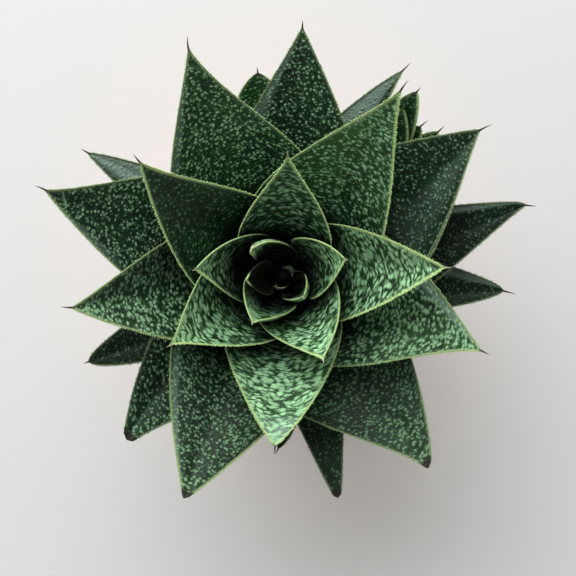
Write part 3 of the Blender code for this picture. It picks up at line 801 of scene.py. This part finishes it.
def add_shade(skins):
    """Stores at each point how much of the space before it lies open between all the blades, the mask of the painted
    shade.
    """
    points, faces, start = [], [], 0
    for rings, _, _ in skins:
        count, loop = rings.shape[:2]
        index = start + np.arange(count * loop).reshape(count, loop)
        turn = np.roll(index, -1, 1)
        quads = np.stack([index[:-1], turn[:-1], turn[1:], index[1:]], -1)
        points.append(rings.reshape(-1, 3))
        faces += quads.reshape(-1, 4).tolist()
        start += count * loop
    tree = BVHTree.FromPolygons(np.concatenate(points).tolist(), faces)
    rise = (np.arange(SHADE_RAYS) + 0.5) / SHADE_RAYS
    turn = math.pi * (1 + math.sqrt(5)) * np.arange(SHADE_RAYS)
    flat = np.sqrt(1 - rise)
    fan = np.stack([flat * np.cos(turn), flat * np.sin(turn), np.sqrt(rise)], -1)
    for rings, _, fields in skins:
        count, loop = rings.shape[:2]
        along = np.gradient(rings, axis=0)
        around = np.roll(rings, -1, 1) - np.roll(rings, 1, 1)
        normal = np.cross(along, around)
        normal /= np.maximum(np.linalg.norm(normal, axis=-1, keepdims=True), 1e-12)
        through = rings[:, UPPER_POINTS // 2] - rings[:, UPPER_POINTS + len(BEAD_ANGLES) + UNDER_POINTS // 2]
        normal *= math.copysign(1, np.sum(normal[:, UPPER_POINTS // 2] * through))
        side = np.cross(normal, [0.3, 0.1, 1.0])
        side /= np.maximum(np.linalg.norm(side, axis=-1, keepdims=True), 1e-12)
        front = np.cross(normal, side)
        rows = np.unique(np.append(np.arange(0, count, 2), count - 1))
        spots = np.unique(np.append(np.arange(0, loop, 2), loop - 1))
        coarse = np.zeros((len(rows), len(spots)))
        for a, i in enumerate(rows):
            for b, j in enumerate(spots):
                rays = fan @ np.stack([side[i, j], front[i, j], normal[i, j]])
                origin = Vector(rings[i, j] + 0.4 * MM * normal[i, j])
                for ray in rays:
                    distance = tree.ray_cast(origin, Vector(ray), SHADE_REACH)[3]
                    coarse[a, b] += 1 if distance is None else (distance / SHADE_REACH) ** 2
        coarse /= SHADE_RAYS
        half = np.stack([np.interp(np.arange(loop), spots, row) for row in coarse])
        shade = np.stack([np.interp(np.arange(count), rows, half[:, j]) for j in range(loop)], -1)
        fields["open"] = shade


def skin_mesh(name, skins):
    """One mesh of all the given blades, each closed at its heel and at its awn's end."""
    points, faces, start = [], [], 0
    stored = {}
    for rings, apex, fields in skins:
        count, loop = rings.shape[:2]
        heel = rings[0].mean(0)
        points += [rings.reshape(-1, 3), heel[None], apex[None]]
        index = start + np.arange(count * loop).reshape(count, loop)
        turned = np.roll(index, -1, 1)
        quads = np.stack([index[:-1], turned[:-1], turned[1:], index[1:]], -1).reshape(-1, 4)
        faces += quads.tolist()
        heel_index, apex_index = start + count * loop, start + count * loop + 1
        for i in range(loop):
            j = (i + 1) % loop
            faces.append([int(index[0, j]), int(index[0, i]), heel_index])
            faces.append([int(index[-1, i]), int(index[-1, j]), apex_index])
        for key, values in fields.items():
            flat = values.reshape(count * loop, -1)
            ends = np.stack([flat[:loop].mean(0), flat[-loop:].mean(0)])
            stored.setdefault(key, []).append(np.concatenate([flat, ends]))
        start += count * loop + 2
    mesh = make_mesh(name, np.concatenate(points), faces)
    for key, values in stored.items():
        joined = np.concatenate(values)
        store(mesh, key, joined if joined.shape[1] == 3 else joined[:, 0])
    return mesh


class Growth(Sheet):
    """A Geometry Nodes tree with named inputs, put on an object as a modifier."""

    def __init__(self, name, inputs):
        tree = bpy.data.node_groups.new(name, "GeometryNodeTree")
        super().__init__(tree)
        panel = tree.interface
        panel.new_socket("Geometry", in_out="INPUT", socket_type="NodeSocketGeometry")
        panel.new_socket("Geometry", in_out="OUTPUT", socket_type="NodeSocketGeometry")
        self.keys = {}
        for key, kind in inputs.items():
            made = panel.new_socket(key, in_out="INPUT", socket_type=kind)
            self.keys[key] = made.identifier
        entry = tree.nodes.new("NodeGroupInput")
        self.given = {socket.name: Wire(self, socket) for socket in entry.outputs if socket.name}

    def named(self, name, kind="FLOAT"):
        sockets = {0: name}
        return self.node("GeometryNodeInputNamedAttribute", {"data_type": kind}, sockets)

    def finish(self, *parts):
        joined = self.tree.nodes.new("GeometryNodeJoinGeometry")
        for part in reversed(parts):
            self.tree.links.new(part.socket, joined.inputs[0])
        self.node("NodeGroupOutput", None, {0: Wire(self, joined.outputs[0])})

    def put_on(self, piece, values):
        modifier = piece.modifiers.new(self.tree.name, "NODES")
        modifier.node_group = self.tree
        for key, value in values.items():
            modifier[self.keys[key]] = value


def margin_growth():
    """Small teeth along the margins, and raised flecks scattered on the upper face."""
    number, whole, finish = "NodeSocketFloat", "NodeSocketInt", "NodeSocketMaterial"
    inputs = {
        "Tooth Spacing": number,
        "Tooth Height": number,
        "Tooth Radius": number,
        "Fleck Spacing": number,
        "Fleck Radius": number,
        "Fleck Length": number,
        "Seed": whole,
        "Tooth Finish": finish,
        "Fleck Finish": finish,
    }
    grown = Growth("margin_teeth_and_flecks", inputs)
    given = grown.given
    node = grown.node

    def chance(low, high, shift):
        # Random Value keeps one set of sockets for each of its kinds; the plain number comes second
        sockets = {2: low, 3: high, "Seed": given["Seed"] + shift}
        return node("FunctionNodeRandomValue", {"data_type": "FLOAT"}, sockets, 1)

    def planted(points, shape, rotation, scale, material):
        sockets = {"Points": points, "Instance": shape, "Rotation": rotation, "Scale": scale}
        made = node("GeometryNodeInstanceOnPoints", None, sockets)
        made = node("GeometryNodeRealizeInstances", None, {0: made})
        made = node("GeometryNodeSetShadeSmooth", None, {0: made, "Shade Smooth": True})
        return node("GeometryNodeSetMaterial", None, {0: made, "Material": material})

    on_rim = grown.named("rim").maths("GREATER_THAN", grown.named("rim"), 0.9)
    rail = node("GeometryNodeMeshToCurve", None, {"Mesh": given["Geometry"], "Selection": on_rim})
    sockets = {"Curve": rail, "Length": given["Tooth Spacing"]}
    rail = node("GeometryNodeResampleCurve", {"mode": "LENGTH"}, sockets)
    sockets = {
        "Vertices": 6,
        "Radius Top": given["Tooth Radius"] * 0.15,
        "Radius Bottom": given["Tooth Radius"],
        "Depth": given["Tooth Height"],
    }
    cone = node("GeometryNodeMeshCone", {"fill_type": "TRIANGLE_FAN"}, sockets)
    lean = grown.named("lean", "FLOAT_VECTOR")
    rotation = node("FunctionNodeAlignRotationToVector", {"axis": "Z"}, {"Vector": lean})
    teeth = planted(rail, cone, rotation, chance(0.5, 1.2, 0), given["Tooth Finish"])

    sockets = {
        "Mesh": given["Geometry"],
        "Distance Min": given["Fleck Spacing"],
        "Density Max": FLECK_DENSITY,
        "Density Factor": grown.named("fleck"),
        "Seed": given["Seed"],
    }
    scatter = node("GeometryNodeDistributePointsOnFaces", {"distribute_method": "POISSON"}, sockets)
    normal = Wire(grown, scatter.socket.node.outputs["Normal"])
    crosswise = grown.named("crosswise", "FLOAT_VECTOR")
    upright = node("FunctionNodeAlignRotationToVector", {"axis": "X"}, {"Vector": crosswise})
    sockets = {"Rotation": upright, "Vector": normal}
    settings = {"axis": "Z", "pivot_axis": "X"}
    upright = node("FunctionNodeAlignRotationToVector", settings, sockets)
    sockets = {
        "Vertices": 6,
        "Radius Top": 0.0,
        "Radius Bottom": given["Fleck Radius"],
        "Depth": given["Fleck Radius"] * 0.3,
    }
    dome = node("GeometryNodeMeshCone", {"fill_type": "NONE"}, sockets)
    size = chance(0.5, 1.2, 7)
    stretch = grown.vector(chance(0.8, given["Fleck Length"], 3) * size, size, 1.0)
    flecks = planted(scatter, dome, upright, stretch, given["Fleck Finish"])
    grown.finish(given["Geometry"], teeth, flecks)
    return grown


def grain_growth():
    """Knobbly lumps scattered on the mix, each of its own size and turned its own way."""
    number, whole, finish = "NodeSocketFloat", "NodeSocketInt", "NodeSocketMaterial"
    inputs = {
        "Spacing": number,
        "Least Size": number,
        "Greatest Size": number,
        "Flatness": number,
        "Roughness": number,
        "Seed": whole,
        "Finish": finish,
    }
    grown = Growth("scattered_grains", inputs)
    given = grown.given
    node = grown.node

    def chance(low, high, shift):
        sockets = {2: low, 3: high, "Seed": given["Seed"] + shift}
        return node("FunctionNodeRandomValue", {"data_type": "FLOAT"}, sockets, 1)

    sockets = {
        "Mesh": given["Geometry"],
        "Distance Min": given["Spacing"],
        "Density Max": GRAIN_DENSITY,
        "Density Factor": grown.named("strewn"),
        "Seed": given["Seed"],
    }
    scatter = node("GeometryNodeDistributePointsOnFaces", {"distribute_method": "POISSON"}, sockets)
    lump = node("GeometryNodeMeshIcoSphere", None, {"Radius": 1.0, "Subdivisions": 2})
    size = chance(given["Least Size"], given["Greatest Size"], 1)
    tilt = grown.vector(chance(-0.5, 0.5, 2), chance(-0.5, 0.5, 3), chance(0.0, 6.28, 4))
    scale = grown.vector(size * chance(1.0, 1.7, 5), size, size * given["Flatness"])
    sockets = {"Points": scatter, "Instance": lump, "Rotation": tilt, "Scale": scale}
    grains = node("GeometryNodeRealizeInstances", None, {0: node("GeometryNodeInstanceOnPoints", None, sockets)})
    sockets = {"Vector": node("GeometryNodeInputPosition"), "Scale": 520.0, "Detail": 2.0}
    knobs = node("ShaderNodeTexNoise", None, sockets, 1)
    knobs = node("ShaderNodeVectorMath", {"operation": "SUBTRACT"}, {0: knobs, 1: (0.5, 0.5, 0.5)})
    knobs = node("ShaderNodeVectorMath", {"operation": "SCALE"}, {0: knobs, "Scale": given["Roughness"]})
    grains = node("GeometryNodeSetPosition", None, {"Geometry": grains, "Offset": knobs})
    grains = node("GeometryNodeSetMaterial", None, {0: grains, "Material": given["Finish"]})
    grown.finish(given["Geometry"], grains)
    return grown


def turned(profile, sides):
    """Points and faces of a body turned from a closed profile of (radius, height) points."""
    profile = np.array(profile)
    angle = 2 * math.pi * np.arange(sides) / sides
    points = np.stack(
        [
            profile[:, :1] * np.cos(angle),
            profile[:, :1] * np.sin(angle),
            np.broadcast_to(profile[:, 1:], (len(profile), sides)),
        ],
        -1,
    )
    index = np.arange(len(profile) * sides).reshape(len(profile), sides)
    above = np.roll(index, -1, 0)
    quads = np.stack([index, np.roll(index, -1, 1), np.roll(above, -1, 1), above], -1)
    return points.reshape(-1, 3), quads.reshape(-1, 4).tolist()


def rounded(corners, radius, steps=4):
    """A closed outline whose corners are rounded off by arcs of about the given radius."""
    corners = np.array(corners)
    outline = []
    for before, corner, after in zip(np.roll(corners, 1, 0), corners, np.roll(corners, -1, 0)):
        back, on = before - corner, after - corner
        cut = min(radius, 0.4 * np.linalg.norm(back), 0.4 * np.linalg.norm(on))
        first = corner + cut * back / np.linalg.norm(back)
        last = corner + cut * on / np.linalg.norm(on)
        for t in np.linspace(0, 1, steps + 1):
            outline.append((1 - t) ** 2 * first + 2 * t * (1 - t) * corner + t**2 * last)
    return outline


def inner_radius(height):
    share = (height - POT_FLOOR) / (POT_HEIGHT - POT_FLOOR)
    return INNER_FLOOR_RADIUS + (RIM_RADIUS - POT_WALL - INNER_FLOOR_RADIUS) * share


def make_pot():
    rim_foot = POT_HEIGHT - RIM_BAND
    corners = [
        (DRAIN_RADIUS, 0),
        (BASE_RADIUS, 0),
        (RIM_RADIUS - RIM_TAPER - RIM_STEP, rim_foot),
        (RIM_RADIUS - RIM_TAPER, rim_foot),
        (RIM_RADIUS, POT_HEIGHT),
        (RIM_RADIUS - POT_WALL, POT_HEIGHT),
        (inner_radius(POT_FLOOR), POT_FLOOR),
        (DRAIN_RADIUS, POT_FLOOR),
    ]
    points, faces = turned(rounded(corners, 1.5 * MM), 160)
    piece = add_piece("terracotta_pot", make_mesh("terracotta_pot", points, faces), terracotta())
    settle(piece, "pot")


def make_soil():
    """A crumbly surface of potting mix that dips a little towards the pot's wall."""
    draw = np.random.default_rng(12)
    radius = inner_radius(SOIL_LEVEL) - 2 * GAP
    sides, rings = 120, 40
    rows = [(radius * (rings - i) / rings) for i in range(rings)]
    angle = 2 * math.pi * np.arange(sides) / sides
    points = []
    for depth_radius, height in ((INNER_FLOOR_RADIUS - 3 * MM, POT_FLOOR + GAP), (radius, SOIL_LEVEL - 2 * MM)):
        points.append(np.stack([depth_radius * np.cos(angle), depth_radius * np.sin(angle), height + 0 * angle], -1))
    for row in rows:
        x, y = row * np.cos(angle), row * np.sin(angle)
        bumps = 0.5 * np.sin(310 * x + 90 * y) * np.sin(270 * y - 120 * x + 1)
        bumps = bumps + draw.uniform(-0.35, 0.35, sides)
        points.append(np.stack([x, y, SOIL_LEVEL + 0.9 * MM * bumps], -1))
    points = np.concatenate(points + [[[0, 0, POT_FLOOR + GAP]], [[0, 0, SOIL_LEVEL]]])
    count = len(rows) + 2
    index = np.arange(count * sides).reshape(count, sides)
    turn = np.roll(index, -1, 1)
    faces = np.stack([index[:-1], turn[:-1], turn[1:], index[1:]], -1).reshape(-1, 4).tolist()
    for i in range(sides):
        j = (i + 1) % sides
        faces.append([j, i, count * sides])
        faces.append([int(index[-1, i]), int(index[-1, j]), count * sides + 1])
    mix = potting_mix("potting_mix", (0.010, 0.007, 0.005), (0.045, 0.030, 0.020))
    kinds = [
        (grain_finish("dark_crumb", (0.008, 0.006, 0.004), (0.050, 0.034, 0.022)), 2.0, 0.5, 1.3, 0.8, 1.0),
        (grain_finish("bark_chip", (0.035, 0.018, 0.010), (0.150, 0.080, 0.042)), 4.6, 1.5, 3.2, 0.45, 2.2),
        (grain_finish("perlite", (0.42, 0.40, 0.36), (0.80, 0.79, 0.76)), 8.5, 0.8, 1.7, 0.8, 1.4),
    ]
    mesh = make_mesh("potting_mix", points, faces)
    spots = np.hypot(points[:, 0], points[:, 1])
    on_top = (points[:, 2] > SOIL_LEVEL - 1.5 * MM) & (spots < radius - 3 * MM)
    store(mesh, "strewn", on_top.astype(float))
    piece = add_piece("potting_mix", mesh, mix, *(kind[0] for kind in kinds))
    growth = grain_growth()
    for seed, (finish, spacing, least, greatest, flatness, knobs) in enumerate(kinds):
        values = {
            "Spacing": spacing * MM,
            "Least Size": least * MM,
            "Greatest Size": greatest * MM,
            "Flatness": flatness,
            "Roughness": knobs * MM,
            "Seed": seed,
            "Finish": finish,
        }
        growth.put_on(piece, values)
    settle(piece, "soil")


def make_young_stems(finish):
    """The short leaning stems that carry the young rosettes out of the mix, ringed with leaf scars."""
    angle = 2 * math.pi * np.arange(YOUNG_STEM_SIDES) / YOUNG_STEM_SIDES
    circle = np.stack([np.cos(angle), np.sin(angle), 0 * angle], -1)
    for offset in OFFSETS:
        foot = ROSETTE_AXIS + np.array(offset.foot) * MM
        crown = ROSETTE_AXIS + np.array(offset.crown) * MM
        knots = [foot[2], POT_HEIGHT - 2 * MM, crown[2], crown[2] + 2 * MM]
        heights = np.linspace(knots[0], knots[-1], YOUNG_STEM_RINGS)
        centres = foot + np.interp(heights, knots, [0, 0, 1, 1])[:, None] * (crown - foot)
        centres[:, 2] = heights
        scars = 1 + SCAR_DEPTH * np.sin(2 * math.pi * heights / SCAR_SPACING)
        radii = OFFSET_STEM_RADIUS * scars * np.interp(heights, knots, [0.8, 1, 1.3, 0.7])
        rings = centres[:, None] + radii[:, None, None] * circle
        points = np.concatenate([rings.reshape(-1, 3), centres[:1], centres[-1:]])
        index = np.arange(rings.shape[0] * YOUNG_STEM_SIDES).reshape(-1, YOUNG_STEM_SIDES)
        turn = np.roll(index, -1, 1)
        faces = np.stack([index[:-1], turn[:-1], turn[1:], index[1:]], -1).reshape(-1, 4).tolist()
        for i in range(YOUNG_STEM_SIDES):
            faces.append([int(turn[0, i]), int(index[0, i]), len(points) - 2])
            faces.append([int(index[-1, i]), int(turn[-1, i]), len(points) - 1])
        name = f"young_stem_{offset.name.split('_')[1]}"
        settle(add_piece(name, make_mesh(name, points, faces), finish), offset.name)


def make_stem(finish):
    profile = [
        (0.2 * MM, SOIL_LEVEL - 8 * MM),
        (STEM_STUB_RADIUS, SOIL_LEVEL - 8 * MM),
        (STEM_STUB_RADIUS, STEM_FOOT - 2 * MM),
        (STEM_FOOT_RADIUS, STEM_FOOT),
        (STEM_TOP_RADIUS, STEM_TOP),
        (BUD_RADIUS, STEM_TOP + 0.6 * BUD_HEIGHT),
        (0.1 * MM, STEM_TOP + BUD_HEIGHT),
    ]
    points, faces = turned(rounded(profile, MM, 3), 48)
    mesh = make_mesh("corky_stem", points + ROSETTE_AXIS, faces)
    settle(add_piece("corky_stem", mesh, finish), "stem")


def grow(growth, piece, spacing, tooth, fleck_spacing, fleck_length, seed):
    teeth, flecks = piece.data.materials[1:3]
    growth.put_on(
        piece,
        {
            "Tooth Spacing": spacing,
            "Tooth Height": tooth,
            "Tooth Radius": 0.62 * tooth,
            "Fleck Spacing": fleck_spacing,
            "Fleck Radius": FLECK_RADIUS,
            "Fleck Length": fleck_length,
            "Seed": seed,
            "Tooth Finish": teeth,
            "Fleck Finish": flecks,
        },
    )


def make_plant(growth):
    """The blades of the main rosette, a piece each, and of the two young ones, a piece each."""
    spiral = []
    for order, (leaf, look) in enumerate(zip(LEAVES, LOOKS)):
        spiral.append(blade_skin(spiral_blade(order, leaf, look), order + 1))
    young = []
    for number, offset in enumerate(OFFSETS):
        skins = []
        for i, (tip, left, right, awn) in enumerate(offset.leaves):
            blade = offset_blade(offset.crown, tip, left, right, awn)
            skins.append(blade_skin(blade, 50 + 10 * number + i))
        young.append(skins)
    add_shade(spiral + [skin for skins in young for skin in skins])
    for order, (leaf, look) in enumerate(zip(LEAVES, LOOKS)):
        number = f"{order + 1:02d}"
        name = f"blade_{number}"
        awn = AWN_PALE if order < 12 else AWN_BROWN
        # Blades of the heart keep their tone only near the tip; painted shade darkens the rest
        lit_length = PAINTED_LIT_LENGTHS[order] if order < len(PAINTED_LIT_LENGTHS) else 0.0
        cover = leaf_skin(f"{name}_skin", look, order, awn, 2.0 if leaf.end > 1 else 0.0, lit_length)
        tooth_tone = 1.2 * mixed(DULL_RIM, PALE_RIM, look.rim + 0.2)
        teeth = rim_finish(f"{name}_teeth", tooth_tone, lit_length)
        fleck_tone = mixed(DULL_FLECK, PALE_FLECK, 0.7 * look.pale)
        flecks = rim_finish(f"{name}_flecks", fleck_tone, lit_length)
        piece = add_piece(name, skin_mesh(name, [spiral[order]]), cover, teeth, flecks)
        small = order < 9
        grow(growth, piece, 0.85 * MM, (0.36 if small else 0.5) * MM, 2.1 * MM, 0.8 + 0.5 * look.dash, order)
        settle(piece, f"leaf_{number}")
    look = OFFSET_LOOK
    for number, (offset, skins) in enumerate(zip(OFFSETS, young)):
        name = f"young_rosette_{offset.name.split('_')[1]}"
        cover = leaf_skin(f"{name}_skin", look, 40 + number, AWN_BROWN)
        teeth = rim_finish(f"{name}_teeth", mixed(DULL_RIM, PALE_RIM, look.rim))
        flecks = rim_finish(f"{name}_flecks", mixed(DULL_FLECK, PALE_FLECK, look.pale))
        piece = add_piece(name, skin_mesh(name, skins), cover, teeth, flecks)
        grow(growth, piece, 0.9 * MM, 0.36 * MM, 2 * MM, 1.2, 400 + number)
        settle(piece, offset.name)


def make_stage():
    floor = make_mesh("floor", [(-4, -4, 0), (4, -4, 0), (4, 4, 0), (-4, 4, 0)], [[0, 1, 2, 3]])
    made = Finish("pale_floor")
    floor.materials.append(made.wear((0.86, 0.855, 0.85), 0.7))
    ground = bpy.data.objects.new("floor", floor)
    bpy.context.scene.collection.objects.link(ground)


def add_light(name, place, size, power, tint):
    light = bpy.data.lights.new(name, "AREA")
    light.shape = "DISK"
    light.size = size
    light.energy = power
    light.color = tint
    lamp = bpy.data.objects.new(name, light)
    lamp.location = place
    aim = Vector((0, 0, 0.1)) - lamp.location
    lamp.rotation_euler = aim.to_track_quat("-Z", "Y").to_euler()
    bpy.context.scene.collection.objects.link(lamp)


def make_light():
    """A large window at the top left, and a pale room that is darker overhead and across from it."""
    world = bpy.data.worlds.new("studio")
    world.use_nodes = True
    sky = Sheet(world.node_tree)
    x, y, z = sky.split(sky.node("ShaderNodeTexCoord", None, None, 0))
    overhead = sky.step(z, 0.35, 0.95)
    facing = sky.step(y * 0.9 - x * 0.42, -0.5, 0.9)
    tint = sky.blend(overhead, (1.0, 0.95, 0.885), (0.84, 0.92, 1.0))
    walls = ROOM_GLOW + facing * (WINDOW_GLOW - ROOM_GLOW)
    glow = walls + overhead * (CEILING_GLOW - walls)
    background = world.node_tree.nodes["Background"]
    sky.tree.links.new(tint.socket, background.inputs["Color"])
    sky.tree.links.new(glow.socket, background.inputs["Strength"])
    bpy.context.scene.world = world
    add_light("window", (-0.45, 1.2, 1.15), 1.9, 24, (0.95, 0.98, 1.0))
    bpy.context.scene.view_settings.view_transform = "Standard"
    bpy.context.scene.view_settings.gamma = 0.87


def make_camera():
    camera = bpy.data.cameras.new("camera")
    camera.lens = CAMERA_LENS
    camera.sensor_width = SENSOR
    camera.clip_start = 0.01
    camera.clip_end = 50
    holder = bpy.data.objects.new("camera", camera)
    holder.location = CAMERA_PLACE
    bpy.context.scene.collection.objects.link(holder)
    bpy.context.scene.camera = holder


make_camera()
make_light()
make_stage()
growth = margin_growth()
make_plant(growth)
stem_bark = bark()
make_stem(stem_bark)
make_young_stems(stem_bark)
make_soil()
make_pot()
